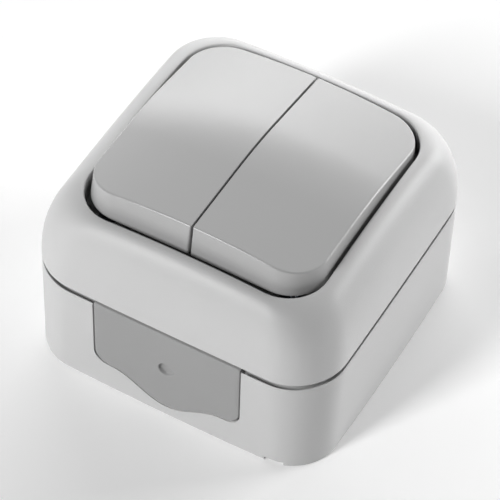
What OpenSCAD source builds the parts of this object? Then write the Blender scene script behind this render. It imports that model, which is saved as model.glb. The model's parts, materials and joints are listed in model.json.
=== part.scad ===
// Surface-mounted wall switch with two rockers, splash-proof, lying on its back.
// z = 0 is the face that goes against the wall and +Z comes out of the wall. +Y runs up the
// wall, and the lower cable entry is in the side at -Y. Each rocker is drawn with its lower
// end out and its upper end pressed in, which is the off position. All sizes are millimetres.

/* [Box] */
// Width of the box, along X
box_w = 80; // [80:1:110]
// Length of the box, along Y
box_l = 80; // [80:1:110]
// Height of the base, from the wall to the joint with the cover
base_h = 30.7; // [25:0.1:45]
// Height of the cover's lip above the joint
cover_h = 20.7; // [19:0.1:24]
// Radius of the box's upright corners
corner_r = 13.5; // [10:0.5:20]
// Thickness of the side walls
wall = 2.2; // [1.6:0.1:3]
// Thickness of the base's back wall
floor_t = 2.5; // [2:0.1:3.5]
// Open line between base and cover
joint_gap = 0.2; // [0.1:0.05:0.4]
// Bevel under the joint, measured inwards
bevel_in = 0.9; // [0.4:0.1:1.2]
// Bevel under the joint, measured downwards
bevel_down = 1.6; // [0.8:0.1:2.4]

/* [Wall fixing] */
// Width of the two fixing slots
slot_w = 4.5; // [3.5:0.1:6]
// Length of the two fixing slots, end to end
slot_len = 8; // [6:0.5:9]
// Distance from the box's side to the slot's centre
slot_inset = 10; // [9.5:0.1:11]
// Width of the drain notch in the lower edge
drain_w = 4.9; // [3:0.1:7]
// Height of the drain notch
drain_h = 1.4; // [1:0.1:2]
// Distance from the box's middle to the drain notch's centre
drain_x = 29; // [26:0.5:30]

/* [Cable entry plates] */
// Half the width of a plate
entry_half_w = 19.6; // [15:0.1:20]
// Height of the plate's shoulders above the wall
entry_shoulder = 8.9; // [8:0.1:11]
// How far the middle of the plate bulges down below its shoulders
entry_bulge = 5.4; // [2:0.1:5.4]
// Half the width of the bulge
entry_bulge_w = 15; // [10:0.5:15]
// Radius of the plate's lower corners
entry_r = 3.8; // [2:0.1:4.2]
// Open line round a plate
entry_gap = 0.3; // [0.1:0.05:0.5]
// Thickness of the flange behind a plate
flange_t = 1.2; // [0.8:0.1:1.5]
// Radius of the drilling mark
mark_r = 1.95; // [1:0.05:3]
// Depth of the drilling mark
mark_depth = 0.9; // [0.4:0.1:1.2]
// Height of the drilling mark above the wall
mark_z = 17.4; // [14:0.1:20]

/* [Cover] */
// Width of the cover's rolled border at the two sides
border_x = 8.7; // [7:0.1:11]
// Width of the cover's rolled border at the two ends
border_y = 8.15; // [7:0.1:11]
// Corner radius of the opening
opening_r = 10.6; // [8:0.1:12]
// Width of the flat land round the opening
lip_land = 0.6; // [0.3:0.1:1.2]
// Thickness of the wall round the rockers
well_t = 1.8; // [1.4:0.1:2.4]
// Thickness of the shelf under the rockers
shelf_t = 2.5; // [2:0.1:3]

/* [Rockers] */
// Open line between the two rockers
slit = 0.5; // [0.4:0.1:1]
// Gap between a rocker and the opening at the sides
side_gap = 0.8; // [0.7:0.1:1.6]
// Gap between a rocker and the opening at the ends
end_gap = 1.55; // [1.4:0.05:2.4]
// How much a rocker narrows from skirt to top, each side
draft = 0.5; // [0:0.1:1]
// Angle from one end position to the other
throw = 8.8; // [6:0.1:10]
// Depth of the pivot below the cover's lip
pivot_drop = 9.4; // [8.5:0.1:10.5]
// Height of the rocker's highest line above the pivot
crest = 15.05; // [14:0.05:17]
// Radius that blends the rocker's two flat halves
bend_r = 120; // [60:5:150]
// Fall of the top from the middle slit to the outer side
crown = 2.6; // [0:0.1:3]
// Rounding of the rocker's top edges
edge_r = 0.8; // [0.4:0.1:1.2]
// Thickness of the rocker's top
top_t = 1.8; // [1.4:0.1:2.2]
// Thickness of the rocker's skirt
skirt_t = 1.5; // [1.2:0.1:2]

/* [Pivot] */
// Radius of the cradle's pivot pins
trunnion_r = 2; // [1.5:0.1:2.6]
// Radial clearance of the pivot pins and plungers
running_fit = 0.05; // [0.02:0.01:0.08]
// Thickness of a bearing ear
ear_t = 2.2; // [1.8:0.1:2.6]
// Half the width of a cradle
cradle_half_w = 5.5; // [5:0.1:6]
// Half the length of a cradle
cradle_half_l = 10; // [9:0.1:11]
// Radius of a plunger
plunger_r = 1.6; // [1.2:0.1:1.8]
// Distance from the pivot to the plunger's tip
plunger_reach = 11; // [10:0.1:12]
// Wire radius of a plunger spring
spring_wire_r = 0.22; // [0.15:0.01:0.3]
// Number of turns in a plunger spring
spring_turns = 6; // [4:1:8]

/* [Contacts] */
// Distance from the rocker's pivot down to the contact's pivot
fulcrum_drop = 13; // [12:0.1:15]
// Radius of the rod that a contact rocks on
fulcrum_r = 1; // [0.8:0.1:1.2]
// Thickness of a contact blade
blade_t = 0.8; // [0.5:0.05:1]
// Half the width of a contact blade
blade_half_w = 2.2; // [1.6:0.1:2.4]
// Distance from the contact's pivot to its silver tip
contact_arm = 12; // [10:0.1:12]
// Turns of the contact for one turn of the rocker
contact_ratio = 1.6; // [1:0.05:1.6]
// Thickness of the brass strips
strip_t = 1.2; // [0.8:0.1:1.5]
// Half the width of a terminal cage
cage_half_w = 3.5; // [3:0.1:3.8]

/* [Screws] */
// Radius of the cover screws
cover_screw_r = 1.75; // [1.5:0.05:2]
// Radius of the mechanism screws
mech_screw_r = 1.45; // [1.2:0.05:1.6]
// Radius of the terminal screws
terminal_screw_r = 1.7; // [1.4:0.05:1.9]
// Clearance round a screw in a hole it passes through
screw_clearance = 0.2; // [0.1:0.05:0.3]

/* [Hidden] */
$fn = 48;
cut = 1;             // how far a cut runs past the face it opens
touch = 0.05;        // gap between faces that rest on each other
corner_steps = 8;    // facets round one corner of a lofted outline
rocker_sides = 6;    // stretches along each straight side of a rocker
slit_r = 0.6;        // radius of a rocker's two corners at the slit
slit_steps = 2;      // facets round them

// Levels, from the wall outwards
cover_z = base_h + joint_gap;
lip_z = base_h + cover_h;
pivot_z = lip_z - pivot_drop;
shelf_top = pivot_z + 1.5;
shelf_z = shelf_top - shelf_t;
lid_top = pivot_z - 7;
lid_t = 2;
lid_z = lid_top - lid_t;
fulcrum_z = pivot_z - fulcrum_drop;
chamber_z = fulcrum_z - 4;
mech_z = fulcrum_z - 15;

// Opening and rockers
open_x = box_w / 2 - border_x;
open_y = box_l / 2 - border_y;
skirt_x = open_x - side_gap;
skirt_y = open_y - end_gap;
skirt_r = opening_r - side_gap;
skirt_clearance = 0.7;
skirt_z = shelf_top + skirt_clearance + skirt_y * sin(throw / 2) - pivot_z;
pole_x = (slit / 2 + skirt_x) / 2;

// Joint between base and cover: a ledge, the gasket on it and a tongue that presses on it
seal_in = wall + 3.4;
seal_w = 1.9;
tongue_root = 2;     // how far the tongue goes up into the cover
web_t = 1.6;         // thickness of the web that carries it
ledge_t = 1.7;
ledge_z = base_h - 4.2;
gasket_t = 1.8;

// Bearing ears, mechanism outline and the window above it
ear_play = 0.3;
ear_half_y = 3.6;
ear_in = cradle_half_w + ear_play;
ear_out = ear_in + ear_t;
window_x = pole_x + ear_out + 0.4;
window_y = cradle_half_l + 2.8;
collar_t = 1.6;
collar_gap = 0.2;
window_r = 1.5;      // corner radius of the window and of the seal round it
lid_x = window_x + collar_gap + collar_t + 0.1;
lid_y = window_y + collar_gap + collar_t + 0.1;
mech_x = window_x + 0.9;
mech_wall = 1.2;
chamber_half_w = blade_half_w + 1.4;
chamber_half_l = contact_arm + 3;
chamber_end = 0.5;   // wall between a chamber and a terminal cage
cage_l = 6;
cage_t = 1;          // thickness of a cage's frame
cage_y = chamber_half_l + chamber_end;
cage_h = 7;
cage_fit = 0.2;
arm_x = pole_x + cage_half_w + cage_fit + mech_wall;
arm_y = cage_y + cage_l + chamber_end;
strip_half_w = 2;    // half the width of a strip along Y
bar_w = 3;           // width of the common terminal's cross bar
strip_play = 0.2;    // room beside a strip
bar_play = 0.3;      // room beside the cross bar

// Blade heights above the contact's pivot
blade_low = fulcrum_r + running_fit;
blade_top = blade_low + blade_t;
tip_r = 1.2;
tip_h = 0.6;
contact_angle = contact_ratio * throw / 2;
fixed_tip_r = 1.5;
fixed_tip_h = 0.75;
closed_gap = 0.08;
fixed_tip_top = fulcrum_z - (contact_arm + tip_r) * sin(contact_angle)
    + (blade_low - tip_h) * cos(contact_angle) - closed_gap;

// Screws
head_h = 2;
head_over = 1.2;     // how far a head reaches beyond its shank
head_play = 0.2;     // room round a cover screw's head
post_foot = 2;       // solid foot under the hole in a mechanism post
cover_hole = 14;     // depth of the hole in a cover screw's boss
head_seat = shelf_top - head_h - 0.1;
cover_screw_x = box_w / 2 - 16;
cover_screw_y = box_l / 2 - 16;
cover_boss_r = cover_screw_r + 1.8;
boss_top = base_h - 3;
cover_screw_len = 25;
mech_screw_x = 6.5;
mech_screw_y = 9.5;
mech_post_r = mech_screw_r + 1.6;
mech_screw_len = lid_top - floor_t - 3.5;
driver_r = 3.2;

shell_grey = [0.80, 0.80, 0.80];
cover_grey = [0.77, 0.77, 0.77];
rocker_grey = [0.70, 0.70, 0.71];
plate_grey = [0.58, 0.58, 0.58];
rubber_black = [0.10, 0.10, 0.10];
insulator_white = [0.88, 0.87, 0.83];
brass_yellow = [0.80, 0.65, 0.30];
steel_grey = [0.65, 0.66, 0.68];
silver_white = [0.88, 0.88, 0.90];

// ---- helpers ----

// Places a child at each of the four corners (x, y) of a rectangle
module at_corners(x, y) {
    for (sx = [-1, 1])
        for (sy = [-1, 1])
            translate([sx * x, sy * y, 0])
                children();
}

// Flat outline of a rectangle with half sizes x and y and round corners of radius r
module rounded_rect(x, y, r) {
    square([2 * (x - r), 2 * y], center = true);
    square([2 * x, 2 * (y - r)], center = true);
    at_corners(x - r, y - r)
        circle(r);
}

// Upright ring between two rounded rectangles, the outer one larger by t
module ring(x, y, r, t, h) {
    linear_extrude(h)
        difference() {
            rounded_rect(x + t, y + t, r + t);
            rounded_rect(x, y, r);
        }
}

// Solid block with round upright corners and a bevel round its top
module bevelled_block(x, y, r, h, bevel_x, bevel_z) {
    half = [[0, 0], [x, 0], [x, h - bevel_z], [x - bevel_x, h], [0, h]];
    side = [[0, 0], [y, 0], [y, h - bevel_z], [y - bevel_x, h], [0, h]];
    round_corner = [[0, 0], [r, 0], [r, h - bevel_z], [r - bevel_x, h], [0, h]];
    for (m = [0, 1]) {
        mirror([m, 0, 0])
            rotate([90, 0, 0])
                linear_extrude(2 * (y - r), center = true)
                    polygon(half);
        rotate([0, 0, 90])
            mirror([m, 0, 0])
                rotate([90, 0, 0])
                    linear_extrude(2 * (x - r), center = true)
                        polygon(side);
    }
    at_corners(x - r, y - r)
        rotate_extrude()
            polygon(round_corner);
}

// Closed solid through a list of rings, each with as many points, from the lowest ring up.
// Each end is closed by triangles that meet at the ring's middle.
module loft(rings) {
    count = len(rings[0]);
    last = len(rings) - 1;
    low = (last + 1) * count;
    high = low + 1;
    sides = [
        for (k = [0:last - 1])
            for (i = [0:count - 1])
                let (a = k * count + i, b = k * count + (i + 1) % count)
                    each [[a, a + count, b + count], [a, b + count, b]]
    ];
    ends = [
        for (i = [0:count - 1])
            let (j = (i + 1) % count)
                each [[i, j, low], [last * count + j, last * count + i, high]]
    ];
    polyhedron(
        points = [for (one = rings) each one, middle(rings[0]), middle(rings[last])],
        faces = concat(sides, ends)
    );
}

// Mean of a list of points
function middle(points) = [for (k = [0:2]) total([for (p = points) p[k]]) / len(points)];

function total(list, i = 0) = i < len(list) ? list[i] + total(list, i + 1) : 0;

// Points round an outline from x0 to x1 and -y to y, with its own corner radius at each side.
// steps0 is the number of facets round a corner at x0, and side_steps cuts each straight side
// into that many stretches.
function outline(x0, x1, y, r0, r1, steps0 = corner_steps, side_steps = 1) =
    let (
        corners = [
            for (q = [0:3])
                let (
                    right = q == 0 || q == 3,
                    r = right ? r1 : r0,
                    steps = right ? corner_steps : steps0,
                    cx = right ? x1 - r1 : x0 + r0,
                    cy = q < 2 ? y - r : r - y
                )
                    [for (i = [0:steps])
                        let (a = 90 * (q + i / steps))
                            [cx + r * cos(a), cy + r * sin(a)]]
        ]
    )
        [
            for (q = [0:3])
                let (start = corners[q][len(corners[q]) - 1], end = corners[(q + 1) % 4][0])
                    each concat(
                        corners[q],
                        [for (j = [1:1:side_steps - 1]) start + (end - start) * j / side_steps]
                    )
        ];

// The same outline as a ring at height z
function level(points, z) = [for (p = points) [p[0], p[1], z]];

// Screw along Z with its head's underside at z = 0: a shank, a round head and a cross slot
module screw(r, len, head_r) {
    slot_t = 0.9;
    difference() {
        union() {
            translate([0, 0, -len])
                cylinder(r = r, h = len);
            cylinder(r = head_r, h = head_h);
        }
        for (a = [0, 90])
            rotate([0, 0, a])
                translate([-head_r * 0.7, -slot_t / 2, head_h / 2])
                    cube([head_r * 1.4, slot_t, head_h]);
    }
}

// Turns a child from a rocker's middle position to its rest position
module rocker_rest() {
    translate([0, 0, pivot_z])
        rotate([-throw / 2, 0, 0])
            children();
}

// Turns a child from a contact's middle position to its rest position
module contact_rest() {
    translate([0, 0, fulcrum_z])
        rotate([contact_angle, 0, 0])
            children();
}

// ---- base and cable entries ----

// Outline of an entry plate in X and Z, grown by g all round
function entry_outline(g) =
    let (
        half = entry_half_w + g,
        low = entry_shoulder - g,
        r = entry_r,
        arc = [for (a = [0:15:90]) [half - r + r * cos(a), low + r - r * sin(a)]],
        wave = [
            for (x = [entry_bulge_w - 1:-1:0])
                [x, low - entry_bulge * (1 + cos(180 * x / entry_bulge_w)) / 2]
        ],
        right = concat([[half, base_h]], arc, wave),
        left = [for (i = [len(right) - 2:-1:0]) [-right[i][0], right[i][1]]]
    )
        concat(right, left);

// Upright slab of the entry outline, from the outer face inwards by t
module entry_slab(g, t) {
    translate([0, -box_l / 2 + t, 0])
        rotate([90, 0, 0])
            linear_extrude(t)
                polygon(entry_outline(g));
}

flange_w = 1.8;
flange_x = entry_half_w + flange_w;
flange_z = entry_shoulder + 1;
flange_top = base_h - 2.2;

module entry_plate() {
    difference() {
        union() {
            intersection() {
                entry_slab(0, wall + touch);
                translate([-box_w / 2, -box_l / 2, 0])
                    cube([box_w, box_l, base_h - joint_gap]);
            }
            translate([-flange_x, -box_l / 2 + wall + touch, flange_z])
                cube([2 * flange_x, flange_t, flange_top - flange_z]);
        }
        translate([0, -box_l / 2 - cut, mark_z])
            rotate([-90, 0, 0])
                cylinder(r = mark_r, h = mark_depth + cut);
    }
}

// Two upright rails on the base that a plate slides down into
module entry_rails() {
    rail_y = -box_l / 2 + wall;
    rail_depth = touch + flange_t + 0.1;
    lip = 1.2;
    for (m = [0, 1])
        mirror([m, 0, 0]) {
            translate([flange_x + 0.1, rail_y - touch, flange_z])
                cube([1.4, rail_depth + lip + touch, ledge_z - flange_z]);
            translate([flange_x - 1, rail_y + rail_depth, flange_z])
                cube([1.6, lip, ledge_z - flange_z]);
        }
}

module base_box() {
    inner_r = corner_r - wall;
    color(shell_grey)
        difference() {
            union() {
                difference() {
                    bevelled_block(box_w / 2, box_l / 2, corner_r, base_h, bevel_in, bevel_down);
                    translate([0, 0, floor_t])
                        linear_extrude(base_h)
                            rounded_rect(box_w / 2 - wall, box_l / 2 - wall, inner_r);
                }
                translate([0, 0, ledge_z])
                    ring(box_w / 2 - seal_in, box_l / 2 - seal_in, corner_r - seal_in,
                        seal_in - wall / 2, ledge_t);
                at_corners(cover_screw_x, cover_screw_y)
                    cylinder(r = cover_boss_r, h = boss_top);
                at_corners(mech_screw_x, mech_screw_y)
                    cylinder(r = mech_post_r, h = mech_z);
                for (turn = [0, 180])
                    rotate([0, 0, turn])
                        entry_rails();
            }
            for (turn = [0, 180])
                rotate([0, 0, turn]) {
                    translate([0, -cut, 0])
                        entry_slab(entry_gap, wall + 2 * cut);
                    translate([-flange_x - 0.1, -box_l / 2 + wall - touch, flange_z - 0.1])
                        cube([2 * flange_x + 0.2, flange_t + 3 * touch, base_h]);
                }
            for (sx = [-1, 1])
                translate([sx * (box_w / 2 - slot_inset), 0, -cut])
                    linear_extrude(floor_t + 2 * cut) {
                        square([slot_len - slot_w, slot_w], center = true);
                        for (end = [-1, 1])
                            translate([end * (slot_len - slot_w) / 2, 0])
                                circle(slot_w / 2);
                    }
            at_corners(cover_screw_x, cover_screw_y)
                translate([0, 0, boss_top - cover_hole])
                    cylinder(r = cover_screw_r + touch, h = cover_hole + cut);
            at_corners(mech_screw_x, mech_screw_y)
                translate([0, 0, floor_t + post_foot])
                    cylinder(r = mech_screw_r + touch, h = mech_z);
            translate([drain_x - drain_w / 2, -box_l / 2 - cut, -cut])
                cube([drain_w, wall + cut, drain_h + cut]);
        }
}

module cable_entry_plate_lower() {
    color(plate_grey)
        entry_plate();
}

module cable_entry_plate_upper() {
    color(plate_grey)
        rotate([0, 0, 180])
            entry_plate();
}

module cover_gasket() {
    color(rubber_black)
        translate([0, 0, ledge_z + ledge_t])
            ring(box_w / 2 - seal_in, box_l / 2 - seal_in, corner_r - seal_in, seal_w, gasket_t);
}

// ---- cover ----

// Rolled outside of the cover, a quarter ellipse from the joint to the land round the opening,
// moved in by inset
module cover_roll(inset, z0) {
    steps = 7;
    rings = [
        for (i = [0:steps])
            let (
                a = 90 * i / steps,
                in_x = inset + (border_x - lip_land - inset) * (1 - cos(a)),
                in_y = inset + (border_y - lip_land - inset) * (1 - cos(a)),
                r = corner_r + (opening_r + lip_land - corner_r) * (1 - cos(a)) - inset / 2,
                points = outline(in_x - box_w / 2, box_w / 2 - in_x, box_l / 2 - in_y, r, r)
            )
                level(points, z0 + (lip_z - inset - z0) * sin(a))
    ];
    loft(rings);
}

module cover_frame() {
    color(cover_grey)
        difference() {
            union() {
                difference() {
                    cover_roll(0, cover_z);
                    translate([0, 0, -cut])
                        cover_roll(wall, cover_z);
                }
                translate([0, 0, shelf_z])
                    ring(open_x, open_y, opening_r, well_t, lip_z - wall / 2 - shelf_z);
                translate([0, 0, shelf_z])
                    linear_extrude(shelf_t)
                        rounded_rect(open_x + well_t / 2, open_y + well_t / 2, opening_r);
                at_corners(cover_screw_x, cover_screw_y)
                    translate([0, 0, boss_top + touch])
                        cylinder(r = cover_boss_r, h = shelf_top - boss_top - touch);
                translate([0, 0, cover_z - joint_gap - ledge_tongue()])
                    ring(box_w / 2 - seal_in, box_l / 2 - seal_in, corner_r - seal_in, seal_w,
                        ledge_tongue() + tongue_root);
                translate([0, 0, cover_z])
                    ring(box_w / 2 - seal_in, box_l / 2 - seal_in, corner_r - seal_in,
                        seal_in - wall / 2, web_t);
            }
            translate([0, 0, shelf_top])
                linear_extrude(cover_h)
                    rounded_rect(open_x, open_y, opening_r);
            translate([0, 0, shelf_z - cut])
                linear_extrude(shelf_t + 2 * cut)
                    rounded_rect(window_x, window_y, window_r);
            at_corners(cover_screw_x, cover_screw_y) {
                translate([0, 0, boss_top - cut])
                    cylinder(r = cover_screw_r + screw_clearance, h = shelf_top);
                translate([0, 0, head_seat])
                    cylinder(r = cover_screw_r + head_over + head_play, h = head_h + cut);
            }
        }
}

// How far the cover's tongue reaches below the joint, to rest on the gasket
function ledge_tongue() = base_h - (ledge_z + ledge_t + gasket_t);

// ---- mechanism ----

// Plan of the insulating body: a middle block and two ends that hold the terminals
module mech_plan(x, y) {
    square([2 * x, 2 * y], center = true);
    square([2 * arm_x, 2 * arm_y], center = true);
}

// Where the three terminal cages stand: x and y of the cage's middle
cage_mid = cage_y + cage_l / 2;
cages = [[0, -cage_mid], [-pole_x, cage_mid], [pole_x, cage_mid]];
cage_top = chamber_z + strip_t;
cage_z = cage_top - cage_h - strip_t;

module mechanism_seal() {
    color(rubber_black)
        translate([0, 0, lid_top])
            ring(window_x + collar_gap, window_y + collar_gap, window_r, collar_t, shelf_z - lid_top);
}

module mechanism_body() {
    bar_room = bar_w + 2 * bar_play;
    strip_room = 2 * (strip_half_w + strip_play);
    gate_l = 3;
    color(insulator_white)
        difference() {
            translate([0, 0, mech_z])
                linear_extrude(lid_z - mech_z)
                    mech_plan(mech_x, cage_y);
            for (sx = [-1, 1])
                translate([sx * pole_x - chamber_half_w, -chamber_half_l, chamber_z])
                    cube([2 * chamber_half_w, 2 * chamber_half_l, lid_z]);
            translate([-pole_x, -bar_room / 2, chamber_z])
                cube([2 * pole_x, bar_room, lid_z]);
            translate([-strip_room / 2, -cage_mid, chamber_z])
                cube([strip_room, cage_mid, lid_z]);
            for (p = cages) {
                out = p[1] > 0 ? 1 : -1;
                translate([
                    p[0] - cage_half_w - cage_fit,
                    out > 0 ? p[1] - cage_l / 2 - cage_fit : -arm_y - cut,
                    cage_z - cage_fit
                ])
                    cube([2 * (cage_half_w + cage_fit), arm_y + cut - cage_y + cage_fit, lid_z]);
                translate([p[0] - strip_room / 2, p[1] - out * cage_l / 2 - gate_l / 2, chamber_z])
                    cube([strip_room, gate_l, lid_z]);
            }
            at_corners(mech_screw_x, mech_screw_y)
                translate([0, 0, mech_z - cut])
                    cylinder(r = mech_screw_r + screw_clearance, h = lid_z);
        }
}

module mechanism_cover() {
    ear_rim = 1.3;
    ear_h = pivot_z + trunnion_r + ear_rim - lid_top;
    hole_x = plunger_r + 0.9;
    hole_y = plunger_r + 1.9;
    color(insulator_white)
        difference() {
            union() {
                translate([0, 0, lid_z + touch])
                    linear_extrude(lid_t - touch)
                        mech_plan(lid_x, lid_y);
                for (sx = [-1, 1])
                    for (side = [-1, 1])
                        translate([sx * pole_x + side * (ear_in + ear_t / 2), 0, 0])
                            translate([-ear_t / 2, -ear_half_y, lid_z + lid_t / 2])
                                cube([ear_t, 2 * ear_half_y, ear_h + lid_t / 2]);
            }
            for (sx = [-1, 1]) {
                translate([sx * pole_x - ear_out - cut, 0, pivot_z])
                    rotate([0, 90, 0])
                        cylinder(r = trunnion_r + running_fit, h = 2 * (ear_out + cut));
                translate([sx * pole_x - hole_x, -hole_y, lid_z - cut])
                    cube([2 * hole_x, 2 * hole_y, lid_t + 2 * cut]);
            }
            for (p = cages)
                translate([p[0], p[1], lid_z - cut])
                    cylinder(r = driver_r, h = lid_t + 2 * cut);
            at_corners(mech_screw_x, mech_screw_y)
                translate([0, 0, lid_z - cut])
                    cylinder(r = mech_screw_r + screw_clearance, h = lid_t + 2 * cut);
        }
}

// Brass cage with its top at z = 0: open along Y for the wire, tapped along Z for the screw
module cage() {
    difference() {
        translate([-cage_half_w, -cage_l / 2, cage_z - cage_top])
            cube([2 * cage_half_w, cage_l, cage_top - cage_z]);
        translate([-cage_half_w + cage_t, -cage_l / 2 - cut, cage_z - cage_top + cage_t])
            cube([2 * (cage_half_w - cage_t), cage_l + 2 * cut, cage_h - 2 * cage_t]);
        translate([0, 0, -cage_h])
            cylinder(r = terminal_screw_r + touch, h = cage_h + cut);
    }
}

// Strip with its top at cage_top, along Y from y0 to y1
module strip(x, y0, y1) {
    translate([x - strip_half_w, y0, chamber_z])
        cube([2 * strip_half_w, y1 - y0, strip_t]);
}

module common_terminal() {
    post_t = 0.8;
    post_w = 2;
    post_x = blade_half_w + 0.4;
    color(brass_yellow) {
        translate([-pole_x - post_x, -bar_w / 2, chamber_z])
            cube([2 * (pole_x + post_x), bar_w, strip_t]);
        strip(0, -cage_y - 1, 0);
        translate([cages[0][0], cages[0][1], cage_top])
            cage();
        for (sx = [-1, 1]) {
            for (side = [-1, 1])
                translate([
                    sx * pole_x + side * (post_x + post_t / 2) - post_t / 2, -post_w / 2, chamber_z
                ])
                    cube([post_t, post_w, fulcrum_z - chamber_z]);
            translate([sx * pole_x - post_x - post_t, 0, fulcrum_z])
                rotate([0, 90, 0])
                    cylinder(r = fulcrum_r, h = 2 * (post_x + post_t));
        }
    }
}

module switched_terminal(p) {
    block_half_w = 1.7;
    block_half_l = 1.6;
    riser = fixed_tip_top - fixed_tip_h - cage_top;
    color(brass_yellow) {
        strip(p[0], contact_arm - block_half_l, cage_y + 1);
        translate([p[0], p[1], cage_top])
            cage();
        translate([p[0] - block_half_w, contact_arm - block_half_l, chamber_z])
            cube([2 * block_half_w, 2 * block_half_l, strip_t + riser]);
    }
}

module switched_terminal_left() {
    switched_terminal(cages[1]);
}

module switched_terminal_right() {
    switched_terminal(cages[2]);
}

module fixed_contact_tips() {
    color(silver_white)
        for (sx = [-1, 1])
            translate([sx * pole_x, contact_arm, fixed_tip_top - fixed_tip_h])
                cylinder(r = fixed_tip_r, h = fixed_tip_h);
}

// Height of the clamp plates in the cages, which the terminal screws end on
clamp_z = cage_z + 4;
clamp_t = 1;
clamp_in = 0.5;

module terminal_clamps() {
    fit = 0.15;
    half = cage_half_w - cage_t - fit;
    color(steel_grey)
        for (p = cages)
            translate([p[0] - half, p[1] - cage_l / 2 + clamp_in, clamp_z])
                cube([2 * half, cage_l - 2 * clamp_in, clamp_t]);
}

module terminal_screws() {
    head_z = cage_top + 0.8;
    color(steel_grey)
        for (p = cages)
            translate([p[0], p[1], head_z])
                screw(terminal_screw_r, head_z - clamp_z - clamp_t, terminal_screw_r + head_over - 0.1);
}

module mechanism_screws() {
    color(steel_grey)
        at_corners(mech_screw_x, mech_screw_y)
            translate([0, 0, lid_top])
                screw(mech_screw_r, mech_screw_len, mech_screw_r + head_over);
}

module cover_screws() {
    color(steel_grey)
        at_corners(cover_screw_x, cover_screw_y)
            translate([0, 0, head_seat])
                screw(cover_screw_r, cover_screw_len, cover_screw_r + head_over);
}

// ---- rockers: each is drawn on the right, about its pivot, in its middle position ----

// Height of the rocker's top above the pivot: two flats blended by a wide arc, and the crown
function rocker_top(x, y) =
    let (
        slope = tan(throw / 2),
        blend = bend_r * sin(throw / 2),
        far = abs(y),
        fall = far < blend ? far * far / (2 * bend_r) : (far - blend / 2) * slope
    )
        crest - fall - crown * pow(x / skirt_x, 2);

// Ring on the rocker's outline moved in by inset, with its points drop below the top
function rocker_ring(inset, drop) =
    let (points = outline(slit / 2 + inset, skirt_x - draft - inset, skirt_y - draft - inset,
            max(slit_r - inset / 2, 0.2), skirt_r - inset, slit_steps, rocker_sides))
        [for (p = points) [p[0], p[1], rocker_top(p[0], p[1]) - drop]];

// The ring of the top edge drawn together towards the middle of the rocker, on its top
function rocker_inner_ring(inset, drop, share) =
    [for (p = rocker_ring(inset, 0))
        let (x = pole_x + (p[0] - pole_x) * share, y = p[1] * share)
            [x, y, rocker_top(x, y) - drop]];

module rocker_shell() {
    shares = [0.82, 0.6, 0.35];
    bottom = outline(slit / 2, skirt_x, skirt_y, slit_r, skirt_r, slit_steps, rocker_sides);
    hollow = outline(slit / 2 + skirt_t, skirt_x - skirt_t, skirt_y - skirt_t,
        slit_r, skirt_r - skirt_t, slit_steps, rocker_sides);
    difference() {
        loft(concat(
            [level(bottom, skirt_z), rocker_ring(0, edge_r), rocker_ring(edge_r / 3, edge_r / 3),
                rocker_ring(edge_r, 0)],
            [for (s = shares) rocker_inner_ring(edge_r, 0, s)]
        ));
        loft(concat(
            [level(hollow, skirt_z - cut), rocker_ring(skirt_t, top_t)],
            [for (s = shares) rocker_inner_ring(skirt_t, top_t, s)]
        ));
    }
}

// Clip legs that hold the cradle's deck, and ribs that rest on it
deck_z = 2.5;
deck_t = 2;
leg_t = 1.3;
leg_half_w = 3;
rib_half_w = 4;
rib_t = 1.5;

module rocker_legs() {
    nib_gap = 0.1;
    nib_h = 1;
    nib_in = 0.8;
    leg_y = cradle_half_l + touch;
    leg_low = deck_z - nib_gap - nib_h;
    leg_top = rocker_top(pole_x, leg_y) - top_t / 2;
    rib_y = cradle_half_l - 3;
    rib_top = rocker_top(pole_x, rib_y) - top_t / 2;
    for (sy = [0, 1])
        mirror([0, sy, 0]) {
            translate([pole_x - leg_half_w, leg_y, leg_low])
                cube([2 * leg_half_w, leg_t, leg_top - leg_low]);
            translate([pole_x - leg_half_w, leg_y - nib_in, leg_low])
                cube([2 * leg_half_w, nib_in + leg_t / 2, nib_h]);
            translate([pole_x - rib_half_w, rib_y, deck_z + deck_t])
                cube([2 * rib_half_w, rib_t, rib_top - deck_z - deck_t]);
        }
}

module rocker_cap() {
    color(rocker_grey)
        rocker_rest() {
            rocker_shell();
            rocker_legs();
        }
}

// Bore for the plunger and its spring, and where each of them ends above the pivot
guide_low = -6;
spring_low = -3.5;
bore_top = 3.3;

module cradle() {
    hub_r = trunnion_r + 1.6;
    guide_r = plunger_r + 1.4;
    web_half_l = 3;
    color(insulator_white)
        rocker_rest()
            translate([pole_x, 0, 0])
                difference() {
                    union() {
                        rotate([0, 90, 0]) {
                            cylinder(r = hub_r, h = 2 * cradle_half_w, center = true);
                            cylinder(r = trunnion_r, h = 2 * ear_out, center = true);
                        }
                        translate([-cradle_half_w, -cradle_half_l, deck_z])
                            cube([2 * cradle_half_w, 2 * cradle_half_l, deck_t]);
                        translate([-cradle_half_w, -web_half_l, 0])
                            cube([2 * cradle_half_w, 2 * web_half_l, deck_z + deck_t / 2]);
                        translate([0, 0, guide_low])
                            cylinder(r = guide_r, h = -guide_low);
                    }
                    translate([0, 0, guide_low - cut])
                        cylinder(r = plunger_r + running_fit, h = bore_top - guide_low + cut);
                }
}

module plunger() {
    color(steel_grey)
        rocker_rest()
            translate([pole_x, 0, plunger_r - plunger_reach]) {
                sphere(r = plunger_r);
                cylinder(r = plunger_r, h = spring_low - plunger_r + plunger_reach - touch);
            }
}

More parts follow.
